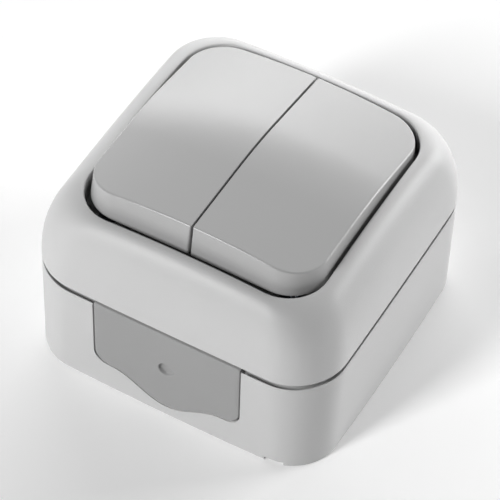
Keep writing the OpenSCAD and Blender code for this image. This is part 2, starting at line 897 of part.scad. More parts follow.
// Compression spring: a round wire carried along a helix between the plunger and the bore's end
module plunger_spring() {
    coil_r = plunger_r - spring_wire_r - 0.1;
    sides = 6;
    steps = 14;
    low = spring_low + spring_wire_r;
    high = bore_top - spring_wire_r - touch;
    rings = [
        for (k = [0:spring_turns * steps])
            let (a = 360 * k / steps, z = low + (high - low) * k / (spring_turns * steps))
                [for (i = [0:sides - 1])
                    let (b = 360 * i / sides, r = coil_r + spring_wire_r * cos(b))
                        [r * cos(a), r * sin(a), z - spring_wire_r * sin(b)]]
    ];
    color(steel_grey)
        rocker_rest()
            translate([pole_x, 0, 0])
                loft(rings);
}

// ---- contacts: drawn on the right, about the rod they rock on, in the middle position ----

module contact() {
    hub_r = blade_top;
    mouth = 2 * fulcrum_r * 0.8;
    over = 1;
    over_tip = 1.4;
    color(brass_yellow)
        contact_rest()
            translate([pole_x, 0, 0])
                difference() {
                    union() {
                        rotate([0, 90, 0])
                            cylinder(r = hub_r, h = 2 * blade_half_w, center = true);
                        translate([-blade_half_w, -contact_arm - over, blade_low])
                            cube([2 * blade_half_w, 2 * contact_arm + over + over_tip, blade_t]);
                    }
                    rotate([0, 90, 0])
                        cylinder(r = blade_low, h = 2 * blade_half_w + cut, center = true);
                    translate([-blade_half_w - cut, -mouth / 2, -hub_r - cut])
                        cube([2 * (blade_half_w + cut), mouth, hub_r + cut]);
                }
}

module contact_tip() {
    color(silver_white)
        contact_rest()
            translate([pole_x, contact_arm, blade_low - tip_h])
                cylinder(r = tip_r, h = tip_h);
}

module on_left() {
    mirror([1, 0, 0])
        children();
}

base_box();
cover_frame();
cable_entry_plate_lower();
cable_entry_plate_upper();
cover_gasket();
mechanism_seal();
mechanism_body();
mechanism_cover();
common_terminal();
switched_terminal_left();
switched_terminal_right();
fixed_contact_tips();
terminal_clamps();
terminal_screws();
mechanism_screws();
cover_screws();
on_left() rocker_cap();  // rocker_left
rocker_cap();  // rocker_right
on_left() cradle();  // cradle_left
cradle();  // cradle_right
on_left() plunger_spring();  // spring_left
plunger_spring();  // spring_right
on_left() plunger();  // plunger_left
plunger();  // plunger_right
on_left() contact();  // contact_left
contact();  // contact_right
on_left() contact_tip();  // contact_tip_left
contact_tip();  // contact_tip_right
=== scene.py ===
# %% [markdown]
# # A surface-mounted wall switch with two rockers
#
# The switch is a square box of moulded plastic. Its base goes against the wall, a cover with a
# rolled border closes it, and two rockers tilt in the cover's opening. Grey plates close the cable
# entries. The solid model already holds every size, fit and joint. This lesson gives the parts
# that show their real surfaces: walls that bow a little, edges that are rounded, a border that
# rolls over in one curve, and plastics with a moulded grain.
#
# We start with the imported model. It is the fixed frame that every new piece is placed in.

# %% Load the switch
import json
import math

import bpy
import numpy as np
from mathutils import Matrix, Vector


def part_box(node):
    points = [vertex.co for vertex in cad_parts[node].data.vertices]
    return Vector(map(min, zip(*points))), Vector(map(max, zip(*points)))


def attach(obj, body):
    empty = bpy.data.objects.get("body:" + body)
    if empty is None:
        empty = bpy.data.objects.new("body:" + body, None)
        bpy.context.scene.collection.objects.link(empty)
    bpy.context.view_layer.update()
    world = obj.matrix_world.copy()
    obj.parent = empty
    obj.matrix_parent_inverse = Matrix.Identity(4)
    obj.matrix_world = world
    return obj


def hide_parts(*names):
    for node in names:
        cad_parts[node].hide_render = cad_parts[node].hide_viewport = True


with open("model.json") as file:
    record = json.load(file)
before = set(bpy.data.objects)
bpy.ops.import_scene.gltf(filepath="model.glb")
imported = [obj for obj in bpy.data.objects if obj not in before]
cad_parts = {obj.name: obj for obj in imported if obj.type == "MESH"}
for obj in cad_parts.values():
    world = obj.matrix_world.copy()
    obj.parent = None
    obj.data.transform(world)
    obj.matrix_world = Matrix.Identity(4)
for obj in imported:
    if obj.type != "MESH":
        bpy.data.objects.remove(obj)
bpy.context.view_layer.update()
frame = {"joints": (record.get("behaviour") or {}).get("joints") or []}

MM = 0.001  # the lesson thinks in millimetres, Blender in metres
joints = {joint["name"]: joint for joint in frame["joints"]}

# %% [markdown]
# ## Driving sizes
#
# Each size below is read from the frame or belongs to one feature. The levels are heights above
# the wall side, z = 0. The joint is where the base ends, the lip is the cover's highest line, and
# the rockers turn about the pivot. A rocker rests at one end of its throw, so its middle position
# is half a throw away.

# %% Sizes and levels
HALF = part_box("cover_frame")[1][0] / MM
JOINT_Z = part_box("base_box")[1][2] / MM
LIP_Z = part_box("cover_frame")[1][2] / MM
PIVOT_Z = joints["right_rocker_tilt"]["pos_m"][2] / MM
THROW = joints["right_rocker_tilt"]["range_deg"][1]
SEAL_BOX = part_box("mechanism_seal")

WALL = 2.2
FLOOR = 2.5
JOINT_GAP = 0.2
BORDER_X, BORDER_Y = 8.7, 8.15
OPENING_R = 10.6
SHELF_TOP = PIVOT_Z + 1.5
SHELF_LOW = SHELF_TOP - 2.5
CORNER_R = 13.5
print(f"box {2 * HALF:.1f} mm wide, joint at {JOINT_Z:.1f}, lip at {LIP_Z:.1f}, throw {THROW:.1f} deg")

# %% [markdown]
# ## Outlines as arrays
#
# Nearly every part of the switch is a rounded rectangle that changes as it rises. One function
# makes many such outlines at once. Every outline has the same number of points in the same order,
# so a stack of them is already a grid of quads.

# %% Rounded rectangles
CORNER_POINTS = 18
SIDE_POINTS = 22


def rounded_loops(x0, x1, y0, y1, radii):
    """Outlines of rounded rectangles, one for each row of the inputs, as an array (rows, points, 2).

    A corner is a quarter circle about a centre that lies one radius inside both sides, and a side
    is cut evenly between two corners. radii has four columns, for the corners (x1, y1), (x0, y1),
    (x0, y0) and (x1, y0)."""
    x0, x1, y0, y1 = (np.atleast_1d(np.asarray(v, float))[:, None, None] for v in (x0, x1, y0, y1))
    radius = np.asarray(radii, float)[:, :, None]
    quarter = np.arange(4)[None, :, None]
    angle = math.pi / 2 * (quarter + np.linspace(0, 1, CORNER_POINTS)[None, None, :])
    on_right = (quarter == 0) | (quarter == 3)
    on_top = quarter < 2
    centre_x = np.where(on_right, x1 - radius, x0 + radius)
    centre_y = np.where(on_top, y1 - radius, y0 + radius)
    corner = np.stack([centre_x + radius * np.cos(angle), centre_y + radius * np.sin(angle)], -1)
    start = corner[:, :, -1:]
    end = np.roll(corner, -1, axis=1)[:, :, :1]
    share = (np.arange(1, SIDE_POINTS + 1) / (SIDE_POINTS + 1))[None, None, :, None]
    side = start + (end - start) * share
    loops = np.concatenate([corner, side], axis=2)
    return loops.reshape(len(loops), -1, 2)


def equal_radii(radius):
    """The same corner radius for all four corners of each outline."""
    return np.repeat(np.atleast_1d(np.asarray(radius, float))[:, None], 4, axis=1)


def bowed(loops, bow):
    """Sides that bulge: each point is drawn in by bow times the square of how far along its side
    it is, so the middle of a side stays and its ends come in."""
    half = np.abs(loops).max(axis=1, keepdims=True)
    along = loops / half
    amount = np.atleast_1d(bow)[:, None, None] * along[:, :, ::-1] ** 2
    return loops * (1 - amount / half)


# %% [markdown]
# ## Profiles with rounded corners
#
# A moulded part has no sharp edge. A profile is drawn with a few corners, and each corner gets the
# radius of its fillet. The arc is found by turning from one tangent point to the other about the
# fillet's centre. Long straight runs get points too, with one close to each fillet, so that
# smooth shading stays flat where the plastic is flat.

# %% Fillets
ARC_STEPS = 5
SUPPORT = 0.15  # distance from a fillet to the first point on the straight run


def fillet(before, corner, after, radius):
    """Points of the arc of that radius that touches both sides of a corner."""
    corner = np.asarray(corner, float)
    to_before = (np.asarray(before) - corner) / np.linalg.norm(np.asarray(before) - corner)
    to_after = (np.asarray(after) - corner) / np.linalg.norm(np.asarray(after) - corner)
    half_angle = math.acos(np.clip(to_before @ to_after, -1, 1)) / 2
    if radius <= 0 or half_angle > math.radians(89):
        return corner[None, :]
    middle = (to_before + to_after) / np.linalg.norm(to_before + to_after)
    centre = corner + middle * radius / math.sin(half_angle)
    first = corner + to_before * radius / math.tan(half_angle) - centre
    last = corner + to_after * radius / math.tan(half_angle) - centre
    turn = math.acos(np.clip(first @ last / radius**2, -1, 1))
    t = np.linspace(0, 1, ARC_STEPS + 1)[:, None]
    return centre + (np.sin((1 - t) * turn) * first + np.sin(t * turn) * last) / math.sin(turn)


def filled(points, spacing):
    """The same polyline with its long runs cut up: a point near each end, then even steps."""
    out = [points[:1]]
    for a, b in zip(points[:-1], points[1:]):
        length = np.linalg.norm(b - a)
        stops = [1.0]
        if length > 4 * SUPPORT:
            count = max(1, round(length / spacing))
            even = np.arange(1, count) / count
            stops = np.concatenate([[SUPPORT / length], even, [1 - SUPPORT / length, 1.0]])
        out.append(a + (b - a) * np.asarray(stops)[:, None])
    return np.concatenate(out)


def profile(corners, closed=False, spacing=2.5):
    """Polyline through (across, height, radius) corners, each rounded by its radius. A corner may
    also be an array of (across, height) points, which is kept as it is."""
    flat = [np.atleast_2d(c) if isinstance(c, np.ndarray) else np.array([c[:2]], float) for c in corners]
    runs = []
    for i, c in enumerate(corners):
        if isinstance(c, np.ndarray):
            runs.append(c)
            continue
        before = flat[i - 1][-1]
        after = flat[(i + 1) % len(flat)][0]
        ends = not closed and i in (0, len(corners) - 1)
        runs.append(flat[i] if ends else fillet(before, c[:2], after, c[2]))
    if closed:
        runs.append(runs[0][:1])
    points = filled(np.concatenate(runs), spacing)
    return points[:-1] if closed else points


# %% [markdown]
# ## From rings to a mesh
#
# `skin` joins a stack of rings into quads with index arithmetic on whole arrays. A stack either
# closes on itself, like a picture frame's moulding, or ends in two poles, like a bowl with a wall.
# The signed volume tells whether the faces point outwards, and the order is turned if they don't.

# %% Mesh builders
def signed_volume(points, faces):
    """Sum over triangles of the volume of the tetrahedron that each makes with the origin."""
    a, b, c = (points[faces[:, k]] for k in range(3))
    return np.einsum("ij,ij->", a, np.cross(b, c)) / 6


def skin(rings, closed=False):
    """(points, quads, fans) of the closed surface through rings (rows, points, 3). Neighbours in two
    rings make a quad, and the fans are the triangles round the middle of the first and last ring."""
    rows, count, _ = rings.shape
    points = rings.reshape(-1, 3)
    row = np.arange(rows if closed else rows - 1)[:, None]
    col = np.arange(count)[None, :]
    here = row * count + col
    right = row * count + (col + 1) % count
    up = (row + 1) % rows * count + col
    up_right = (row + 1) % rows * count + (col + 1) % count
    quads = np.stack([here, right, up_right, up], -1).reshape(-1, 4)
    fans = np.zeros((0, 3), int)
    if not closed:
        points = np.vstack([points, rings[0].mean(0), rings[-1].mean(0)])
        low, high = len(points) - 2, len(points) - 1
        first = np.arange(count)
        nxt = (first + 1) % count
        last = (rows - 1) * count
        fans = np.vstack([
            np.stack([nxt, first, np.full(count, low)], -1),
            np.stack([last + first, last + nxt, np.full(count, high)], -1),
        ])
    test = np.vstack([quads[:, :3], quads[:, [0, 2, 3]], fans])
    if signed_volume(points, test) < 0:
        quads, fans = quads[:, ::-1], fans[:, ::-1]
    return points, quads, fans


def joined(*parts):
    """Several (points, quads, fans) as one."""
    shift = np.cumsum([0] + [len(p[0]) for p in parts[:-1]])
    return (
        np.vstack([p[0] for p in parts]),
        np.vstack([p[1] + s for p, s in zip(parts, shift)]),
        np.vstack([p[2] + s for p, s in zip(parts, shift)]),
    )


def make_object(name, surface):
    """A Blender object with that surface, in millimetres, placed in its mesh at the origin."""
    points, quads, fans = surface
    mesh = bpy.data.meshes.new(name)
    mesh.from_pydata((points * MM).tolist(), [], quads.tolist() + fans.tolist())
    mesh.polygons.foreach_set("use_smooth", np.ones(len(mesh.polygons), bool))
    mesh.update()
    piece = bpy.data.objects.new(name, mesh)
    bpy.context.scene.collection.objects.link(piece)
    return piece


def prism(loop, low, high):
    """Straight solid between two copies of a flat (points, 2) loop, at two heights."""
    rows = [np.column_stack([loop, np.full(len(loop), z)]) for z in (low, high)]
    return skin(np.stack(rows))


def disc(x, y, radius, sides=40):
    """A flat circle's points."""
    turn = np.linspace(0, 2 * math.pi, sides, endpoint=False)
    return np.column_stack([x + radius * np.cos(turn), y + radius * np.sin(turn)])


def block(low, high, radius=0.0):
    """A box between two corners, with its upright edges rounded if radius isn't zero."""
    loop = rounded_loops([low[0]], [high[0]], [low[1]], [high[1]], equal_radii([max(radius, 0.01)]))[0]
    return prism(loop, low[2], high[2])


def four(x, y, make):
    """The solid that make(x, y) gives at each of four corners."""
    return joined(*[make(sx * x, sy * y) for sx in (-1, 1) for sy in (-1, 1)])


def solid_modifier(piece, surface, operation):
    """Cuts a helper solid out of piece, or adds it, and removes the helper."""
    helper = make_object(piece.name + "_helper", surface)
    modifier = piece.modifiers.new(operation.lower(), "BOOLEAN")
    modifier.operation = operation
    modifier.solver = "MANIFOLD"
    modifier.object = helper
    with bpy.context.temp_override(object=piece, active_object=piece):
        bpy.ops.object.modifier_apply(modifier=modifier.name)
    bpy.data.objects.remove(helper)
    piece.data.materials.clear()


def crisp(piece, degrees=32):
    """Smooth shading, with edges kept sharp where two faces meet at more than that angle."""
    piece.data.polygons.foreach_set("use_smooth", np.ones(len(piece.data.polygons), bool))
    piece.data.set_sharp_from_angle(angle=math.radians(degrees))


# %% [markdown]
# ## The outline of the box
#
# From above, the box is a square with round corners. Its sides aren't quite straight: they bow out
# towards the middle, most at the wall side, where the corners are also tighter. The base and the
# entry plates both follow this surface, so it is one function of height.

# %% The box's outer surface
def box_wall(height):
    """Half width, bow and corner radius of the base's outer wall at a height above the wall side.
    All three change evenly from z = 0 to the joint."""
    t = np.clip(np.asarray(height, float) / JOINT_Z, 0, 1)
    half = HALF - 0.1 * (1 - t)
    bow = 0.8 - 0.55 * t
    radius = 11.5 + (CORNER_R - 11.5) * t
    return half, bow, radius


def wall_depth(x, height):
    """How far the middle stretch of a side stands from the box's middle, at x along the side."""
    half, bow, _ = box_wall(height)
    return half - bow * (x / half) ** 2


# %% [markdown]
# ## The base
#
# The base is a tray. Its profile runs from the middle of the underside out to the wall, up the
# outside, over a bevel, through a narrow groove and over the rim, down the inside past the ledge
# that carries the gasket, and back to the middle of the floor. The groove gives the joint its dark
# line. Carried round the outline, the profile is one closed surface. Bosses are added to it, and
# the cable entries, fixing slots, screw holes and drain notch are cut out.

# %% Profile of the base
BEVEL_IN, BEVEL_DOWN = 0.32, 1.9
GROOVE_IN, GROOVE_OUT, GROOVE_DEEP = 0.5, 1.8, 3.4
RIM_DOWN = 0.85  # how far the bevel's upper edge lies under the joint
SEAL_IN = WALL + 3.4
LEDGE_Z = JOINT_Z - 4.2
LEDGE_T = 1.7

base_profile = profile([
    (HALF - 6, 0, 0),
    (0, 0, 0.6),
    (0, JOINT_Z - BEVEL_DOWN, 0.5),
    (BEVEL_IN, JOINT_Z - RIM_DOWN, 0.12),
    (GROOVE_IN, JOINT_Z - GROOVE_DEEP, 0.05),
    (GROOVE_OUT, JOINT_Z - GROOVE_DEEP, 0.05),
    (GROOVE_OUT, JOINT_Z, 0.05),
    (WALL, JOINT_Z, 0.1),
    (WALL, LEDGE_Z + LEDGE_T, 0.3),
    (SEAL_IN, LEDGE_Z + LEDGE_T, 0.2),
    (SEAL_IN, LEDGE_Z, 0.2),
    (WALL, LEDGE_Z, 0.3),
    (WALL, FLOOR, 0.8),
    (HALF - 6, FLOOR, 0),
])
inset, height = base_profile.T
half, bow, radius = box_wall(height)
loops = rounded_loops(
    inset - half, half - inset, inset - half, half - inset, equal_radii(np.maximum(radius - inset, 2.0))
)
base_rings = np.dstack([bowed(loops, bow), np.repeat(height[:, None], loops.shape[1], 1)])
base = make_object("base_shell", skin(base_rings))
print("base surface:", base_rings.shape[0], "rings of", base_rings.shape[1], "points")

# %% [markdown]
# ### Cable entry outline
#
# Each entry is a bay in the wall, open at the joint. Its sides run straight down to round
# shoulders, and between them the lower edge swings down in one wave, a cosine, to the middle.

# %% Outline of a cable entry
ENTRY_HALF = 19.6
SHOULDER_Z = 8.9
SHOULDER_R = 3.8
BULGE = 5.4
BULGE_HALF = 15.0


def entry_loop(grow, top, count=160):
    """Closed outline (x, z) of an entry, grown by a gap all round, with its points evenly spaced."""
    half = ENTRY_HALF + grow
    low = SHOULDER_Z - grow
    turn = np.linspace(0, math.pi / 2, 9)
    shoulder = np.column_stack([
        half - SHOULDER_R * (1 - np.cos(turn)),
        low + SHOULDER_R * (1 - np.sin(turn)),
    ])
    x = np.linspace(BULGE_HALF, 0, 25)[1:]
    wave = np.column_stack([x, low - BULGE * (1 + np.cos(math.pi * x / BULGE_HALF)) / 2])
    right = np.vstack([[half, top], shoulder, wave])
    left = right[-2::-1] * [-1, 1]
    closed = np.vstack([right, left, right[:1]])
    steps = np.linalg.norm(np.diff(closed, axis=0), axis=1)
    along = np.concatenate([[0], np.cumsum(steps)])
    at = np.linspace(0, along[-1], count, endpoint=False)
    return np.column_stack([np.interp(at, along, closed[:, k]) for k in (0, 1)])


def upright(loop, near, far):
    """Solid between two copies of an (x, z) loop that stand at two places along Y."""
    rows = [np.column_stack([loop[:, 0], np.full(len(loop), y), loop[:, 1]]) for y in (near, far)]
    return skin(np.stack(rows))


def turned(surface):
    """The same solid on the opposite side of the box: half a turn about the upright axis."""
    return surface[0] * [-1, -1, 1], surface[1], surface[2]


def both_sides(surface):
    """A solid of the lower side together with its twin on the upper side."""
    return joined(surface, turned(surface))


# %% Bosses, rails, cuts and holes of the base
ENTRY_GAP = 0.3
COVER_SCREW = HALF - 16
COVER_SCREW_R = 1.75
MECH_SCREW = (6.5, 9.5)
MECH_SCREW_R = 1.45
BOSS_TOP = JOINT_Z - 3
MECH_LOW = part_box("mechanism_body")[0][2] / MM
SLOT_X = HALF - 10
SLOT_W, SLOT_LEN = 4.5, 8.0
DRAIN_X, DRAIN_W, DRAIN_H = 29.0, 4.9, 1.4
FLANGE_HALF = ENTRY_HALF + 1.8
FLANGE_T = 1.2
FLANGE_LOW = SHOULDER_Z + 1
SINK = 0.4  # how far a boss is sunk into the floor it stands on
COVER_POST_R = COVER_SCREW_R + 1.8
MECH_POST_R = MECH_SCREW_R + 1.6
HOLE_PLAY = 0.05
COVER_HOLE_DEEP = 14.0
FLANGE_PLAY = 0.15
RAIL_T = 1.4



def round_posts(x, y, radius, low, high):
    """Four round posts, one at each corner of a rectangle."""
    return four(x, y, lambda px, py: prism(disc(px, py, radius), low, high))


posts = joined(
    round_posts(COVER_SCREW, COVER_SCREW, COVER_POST_R, FLOOR - SINK, BOSS_TOP),
    round_posts(*MECH_SCREW, MECH_POST_R, FLOOR - SINK, MECH_LOW),
)

WALL_IN = HALF - WALL
RAIL_IN = WALL_IN - FLANGE_PLAY - FLANGE_T


def rail_leg(side, x0, x1, deep):
    """One leg of a rail beside the flange, from x0 to x1 out from the middle, starting that deep."""
    left, right = sorted((side * x0, side * x1))
    return block((left, -deep, FLANGE_LOW), (right, -RAIL_IN + 1.2, LEDGE_Z + SINK), 0.2)


rails = []
for side in (-1, 1):
    rails.append(rail_leg(side, FLANGE_HALF + 0.1, FLANGE_HALF + 0.1 + RAIL_T, WALL_IN + SINK))
    rails.append(rail_leg(side, FLANGE_HALF - 1, FLANGE_HALF + 0.3, RAIL_IN))
solid_modifier(base, joined(posts, both_sides(joined(*rails))), "UNION")

OVER = 3.0  # how far a cutter reaches past the joint
bay = upright(entry_loop(ENTRY_GAP, JOINT_Z + OVER), -HALF - 2, -WALL_IN + 1)
flange_room = block(
    (-FLANGE_HALF - 0.1, -WALL_IN - 0.1, FLANGE_LOW - 0.1),
    (FLANGE_HALF + 0.1, -WALL_IN + FLANGE_T + 0.1, JOINT_Z + OVER),
)
slots = []
for side in (-1, 1):
    slots.append(block(
        (side * SLOT_X - SLOT_LEN / 2, -SLOT_W / 2, -1),
        (side * SLOT_X + SLOT_LEN / 2, SLOT_W / 2, FLOOR + 1),
        SLOT_W / 2 - 0.01,
    ))
cover_hole_r = COVER_SCREW_R + HOLE_PLAY
holes = joined(
    round_posts(COVER_SCREW, COVER_SCREW, cover_hole_r, BOSS_TOP - COVER_HOLE_DEEP, BOSS_TOP + 1),
    round_posts(*MECH_SCREW, MECH_SCREW_R + HOLE_PLAY, FLOOR + 2, MECH_LOW + 1),
)
drain = block((DRAIN_X - DRAIN_W / 2, -HALF - 1, -1), (DRAIN_X + DRAIN_W / 2, -HALF + WALL, DRAIN_H), 0.3)
for cutter in (both_sides(bay), both_sides(flange_room), joined(*slots, holes, drain)):
    solid_modifier(base, cutter, "DIFFERENCE")
crisp(base)
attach(base, "box")
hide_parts("base_box")
print("base:", len(base.data.polygons), "faces")

# %% [markdown]
# ## The cover
#
# The cover's border is one quarter of an ellipse, from the joint up to the lip of the opening. It
# then turns down into the well, runs in along the shelf under the rockers to the window over the
# mechanism, and comes back along the inside. The section is the same all round, but three outlines
# carry it: the box, the opening and the window. Any ring's outline lies between two of these.

# %% Levels and section of the cover
COVER_Z = JOINT_Z + JOINT_GAP
WELL_T = 1.8
LIP_SAG = 1.55
WINDOW_X = SEAL_BOX[1][0] / MM - 1.8
WINDOW_Y = SEAL_BOX[1][1] / MM - 1.8
OPEN_X = HALF - BORDER_X
OPEN_Y = HALF - BORDER_Y
SHELF_IN = HALF - WINDOW_X


def ellipse_run(across, low, high, start, end, count):
    """Points of a quarter ellipse: the inset grows as 1 - cos and the height as sin of the angle."""
    a = np.radians(np.linspace(start, end, count))
    return np.column_stack([across[0] + across[1] * (1 - np.cos(a)), low + (high - low) * np.sin(a)])


cover_section = profile([
    (WALL, COVER_Z, 0.2),
    (0, COVER_Z, 0.4),
    ellipse_run((0, BORDER_X - 0.7), COVER_Z, LIP_Z, 5, 90, 26),
    (BORDER_X, LIP_Z, 0.35),
    (BORDER_X, SHELF_TOP, 0.6),
    (SHELF_IN, SHELF_TOP, 0.3),
    (SHELF_IN, SHELF_LOW, 0.3),
    (BORDER_X - WELL_T, SHELF_LOW, 0.3),
    (BORDER_X - WELL_T, LIP_Z - 3.2, 0.6),
    ellipse_run((WALL, BORDER_X - WELL_T - WALL - 0.8), COVER_Z, LIP_Z - 2.6, 82, 3, 14),
], closed=True, spacing=2.0)
print("cover section:", len(cover_section), "points")

# %% [markdown]
# The lip isn't level. It is highest in the middle of each side and falls towards the corners, like
# the rim of a shallow dish turned over. The fall grows with the square of the distance from the
# middle, and fades away down the border, so the joint stays level.
#
# Below, a web reaches in from the joint to a tongue that presses the gasket. Four pillars stand on
# the base's posts, and a screw goes down through each.

# %% Cover mesh
inset, height = cover_section.T
stations = [0, BORDER_X, SHELF_IN]
half_x = np.interp(inset, stations, [HALF, OPEN_X, WINDOW_X])
half_y = np.interp(inset, stations, [HALF, OPEN_Y, WINDOW_Y])
radius = np.interp(inset, stations, [CORNER_R, OPENING_R, 1.5])
loops = rounded_loops(-half_x, half_x, -half_y, half_y, equal_radii(radius))
rise = np.clip((height - COVER_Z) / (LIP_Z - COVER_Z), 0, 1)
loops = bowed(loops, 0.25 * (1 - rise) * np.clip(1 - inset / BORDER_X, 0, 1))
beyond = np.clip((loops**2).sum(-1) / OPEN_X**2 - 1, 0, None)
in_well = np.clip((height - SHELF_TOP) / (LIP_Z - SHELF_TOP), 0, 1)
share = np.where(inset > BORDER_X - 0.4, in_well, rise**2)
cover_rings = np.dstack([loops, height[:, None] - LIP_SAG * beyond * share[:, None]])
cover = make_object("cover_shell", skin(cover_rings, closed=True))

TONGUE_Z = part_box("cover_gasket")[1][2] / MM
TONGUE_W = 1.9
WEB_T = 1.4
tongue_in = HALF - SEAL_IN
web_out = HALF - 1.6
tongue_section = np.array([
    (tongue_in, TONGUE_Z), (tongue_in + TONGUE_W, TONGUE_Z), (tongue_in + TONGUE_W, COVER_Z),
    (web_out, COVER_Z), (web_out, COVER_Z + WEB_T), (tongue_in, COVER_Z + WEB_T),
])
half, height = tongue_section.T
loops = rounded_loops(-half, half, -half, half, equal_radii(half - (HALF - CORNER_R)))
tongue_rings = np.dstack([loops, np.repeat(height[:, None], loops.shape[1], 1)])
pillars = round_posts(COVER_SCREW, COVER_SCREW, COVER_POST_R, BOSS_TOP + 0.05, SHELF_LOW + SINK)
solid_modifier(cover, skin(tongue_rings, closed=True), "UNION")
solid_modifier(cover, pillars, "UNION")
shank = (COVER_SCREW_R + 0.2, BOSS_TOP - 1)
head = (COVER_SCREW_R + 1.4, SHELF_TOP - 2.1)
for bore_r, low in (shank, head):
    bores = round_posts(COVER_SCREW, COVER_SCREW, bore_r, low, SHELF_TOP + 1)
    solid_modifier(cover, bores, "DIFFERENCE")
crisp(cover)
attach(cover, "box")
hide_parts("cover_frame")
print("cover:", len(cover.data.polygons), "faces")

# %% [markdown]
# ## The rockers
#
# A rocker's top is two nearly flat halves that meet in a soft ridge over the pivot, and it falls
# away towards the outer side of the switch. Both are heights that depend only on where a point is,
# so the top is a function, and the skin is laid over it: up the skirt, over the rounded edge, in to
# the middle, then the same way back on the inside. The left rocker is the right one mirrored.

# %% Shape of a rocker
SLIT = 0.5
SIDE_GAP, END_GAP = 0.8, 1.55
DRAFT = 0.5
CREST = 15.05
BEND_R = 120
CROWN = 2.6
EDGE_R = 0.45
TOP_T = 1.8
SKIRT_T = 1.5
SKIRT_X = OPEN_X - SIDE_GAP
SKIRT_Y = OPEN_Y - END_GAP
SKIRT_R = OPENING_R - SIDE_GAP
SKIRT_Z = SHELF_TOP + 0.7 + SKIRT_Y * math.sin(math.radians(THROW / 2)) - PIVOT_Z
POLE_X = (SLIT / 2 + SKIRT_X) / 2
SLIT_R = 0.6
SLIT_DRAFT = 0.07
INNER_R = 0.5


def top_height(x, y):
    """Height of the top above the pivot: the crest, less the fall along y, less the crown. The fall
    is y squared over twice the ridge's radius until it has the flat's slope, and then straight."""
    slope = math.tan(math.radians(THROW / 2))
    blend = BEND_R * math.sin(math.radians(THROW / 2))
    far = np.abs(y)
    fall = np.where(far < blend, far**2 / (2 * BEND_R), (far - blend / 2) * slope)
    return CREST - fall - CROWN * (x / SKIRT_X) ** 2


def rocker_rings(inset, rise, drop, share):
    """Rings of the right rocker about its pivot. rise is 0 at the skirt's rim and 1 at the top, drop
    is taken off the height, and share draws a ring in towards the middle of the top. The side at
    the slit has nearly no draft, so its inset grows slowly until the ring is inside the wall."""
    slit_side = np.where(inset < SKIRT_T - 0.3, inset * SLIT_DRAFT, inset)
    r_slit = np.maximum(SLIT_R - inset / 2, 0.25)
    r_side = SKIRT_R - inset
    radii = np.column_stack([r_side, r_slit, r_slit, r_side])
    flat = rounded_loops(SLIT / 2 + slit_side, SKIRT_X - inset, inset - SKIRT_Y, SKIRT_Y - inset, radii)
    middle = np.array([POLE_X, 0])
    flat = middle + (flat - middle) * share[:, None, None]
    top = top_height(flat[..., 0], flat[..., 1]) - drop[:, None]
    z = SKIRT_Z + (top - SKIRT_Z) * rise[:, None]
    return np.dstack([flat, z])


def rocker_surface():
    """The whole skin of one rocker, from the middle of its top round to the middle of its inside."""
    shares = np.concatenate([[0.02], np.linspace(0.08, 0.975, 21), [0.994, 1]])
    turn = np.radians(np.linspace(0, 90, 9))
    skirt = np.concatenate([[1, 0.985], np.linspace(0.9, 0, 7)])
    rows = []
    for s in shares:
        rows.append((DRAFT + EDGE_R, 1, 0, s))
    for a in turn[1:]:
        rows.append((DRAFT + EDGE_R * (1 - math.sin(a)), 1, EDGE_R * (1 - math.cos(a)), 1))
    for f in skirt[1:-1]:
        rows.append((DRAFT * f, f, EDGE_R * f, 1))
    for inset, rise in ((0, 0.03), (0.05, 0.01), (0.25, 0), (SKIRT_T - 0.25, 0), (SKIRT_T - 0.05, 0.01)):
        rows.append((inset, rise, EDGE_R * rise, 1))
    for f in skirt[-2::-1]:
        rows.append((SKIRT_T + (DRAFT - 0.3) * f, f * 0.93, TOP_T * f, 1))
    for a in turn[:0:-1]:
        across = SKIRT_T + DRAFT - 0.3 + INNER_R * (1 - math.sin(a))
        rows.append((across, 1, TOP_T + INNER_R * (1 - math.cos(a)), 1))
    for s in shares[::-1]:
        rows.append((SKIRT_T + DRAFT - 0.3 + INNER_R, 1, TOP_T, s))
    return skin(rocker_rings(*np.array(rows, float).T))


# %% [markdown]
# Under each top, two clip legs with nibs hold the cradle that the rocker turns on, and ribs rest on
# the cradle's deck. They are boxes that reach up into the top, so the union leaves no gap.

# %% Rocker pieces
CRADLE_HALF_L = 10.0
DECK_LOW, DECK_TOP = 2.5, 4.5


def beside(side, half_x, y0, y1, z0, z1):
    """A box across the pivot line between two distances along Y, on one side of the pivot."""
    low_y, high_y = sorted((side * y0, side * y1))
    return block((POLE_X - half_x, low_y, z0), (POLE_X + half_x, high_y, z1), 0.15)


def clip_legs():
    """Two legs with nibs and two ribs about the pivot, up to the middle of the top's thickness."""
    leg_y = CRADLE_HALF_L + 0.05
    leg_top = float(top_height(np.array(POLE_X), np.array(leg_y))) - TOP_T / 2
    rib_y = CRADLE_HALF_L - 3
    nib_top = DECK_LOW - 0.1
    parts = []
    for side in (-1, 1):
        parts.append(beside(side, 3, leg_y, leg_y + 1.3, nib_top - 1, leg_top))
        parts.append(beside(side, 3, leg_y - 0.8, leg_y + 0.65, nib_top - 1, nib_top))
        parts.append(beside(side, 4, rib_y, rib_y + 1.5, DECK_TOP, leg_top + 0.2))
    return joined(*parts)


def at_rest(surface, side):
    """Turns a rocker from its middle to its rest position about the pivot. side -1 mirrors it left,
    with its faces' order turned to match."""
    points, quads, fans = surface
    a = math.radians(-THROW / 2)
    x, y, z = points.T
    moved = np.column_stack([
        x * side, y * math.cos(a) - z * math.sin(a), y * math.sin(a) + z * math.cos(a) + PIVOT_Z
    ])
    if side < 0:
        quads, fans = quads[:, ::-1], fans[:, ::-1]
    return moved, quads, fans


